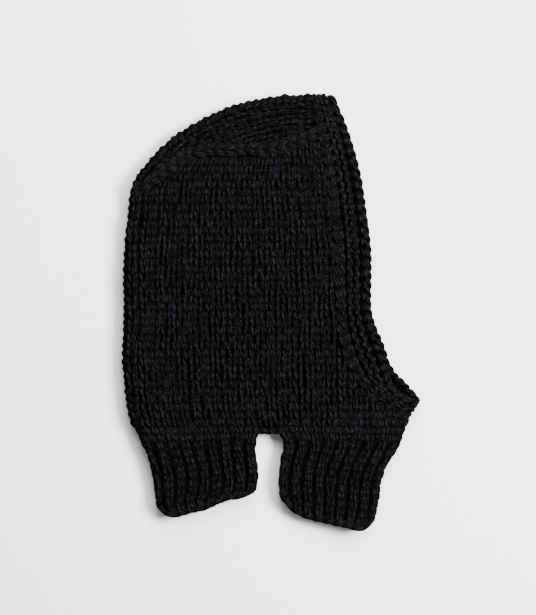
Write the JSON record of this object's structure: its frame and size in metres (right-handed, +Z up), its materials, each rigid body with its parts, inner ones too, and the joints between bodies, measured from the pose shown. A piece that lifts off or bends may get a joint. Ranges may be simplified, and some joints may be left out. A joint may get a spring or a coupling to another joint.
{
  "type": "balaclava",
  "caption": "Chunky black hand-knitted wool balaclava lying flat on its side, with a banded face opening, a gusset crown and two ribbed neck flaps parted by side slits.",
  "frame": {"origin": "on the surface it lies on, under the middle of the whole piece", "axes": "+X to the wearer's face, +Y to the crown, +Z up from the surface, out of the wearer's right side"},
  "size_m": [0.2454, 0.3595, 0.024],
  "materials": {
    "stockinette": "super-bulky wool, plain knitted",
    "face_band": "super-bulky wool, garter ridges",
    "ribbing": "super-bulky wool, one by one rib",
    "edge_yarn": "super-bulky wool, cast-off chain"
  },
  "bodies": {
    "hood": {"right_side_panel": "stockinette", "left_side_panel": "stockinette", "back_panel": "stockinette", "crown_strip": "stockinette", "right_crown_seam": "edge_yarn", "left_crown_seam": "edge_yarn", "right_face_band": "face_band", "left_face_band": "face_band", "right_face_cast_off": "edge_yarn", "left_face_cast_off": "edge_yarn", "chin_panel": "stockinette", "right_slit_bar": "edge_yarn", "left_slit_bar": "edge_yarn"},
    "front_flap_body": {"front_flap": "ribbing", "front_flap_cast_off": "edge_yarn", "front_flap_right_selvedge": "edge_yarn", "front_flap_left_selvedge": "edge_yarn"},
    "back_flap_body": {"back_flap": "ribbing", "back_flap_cast_off": "edge_yarn", "back_flap_right_selvedge": "edge_yarn", "back_flap_left_selvedge": "edge_yarn"}
  },
  "joints": [
    {"name": "front_flap_fold", "type": "hinge", "parent": "hood", "child": "front_flap_body", "pos_m": [0.06, -0.10225, 0.024], "axis": [-1, 0, 0], "range_deg": [0, 150]},
    {"name": "back_flap_fold", "type": "hinge", "parent": "hood", "child": "back_flap_body", "pos_m": [-0.06, -0.10225, 0.024], "axis": [-1, 0, 0], "range_deg": [0, 150]}
  ]
}
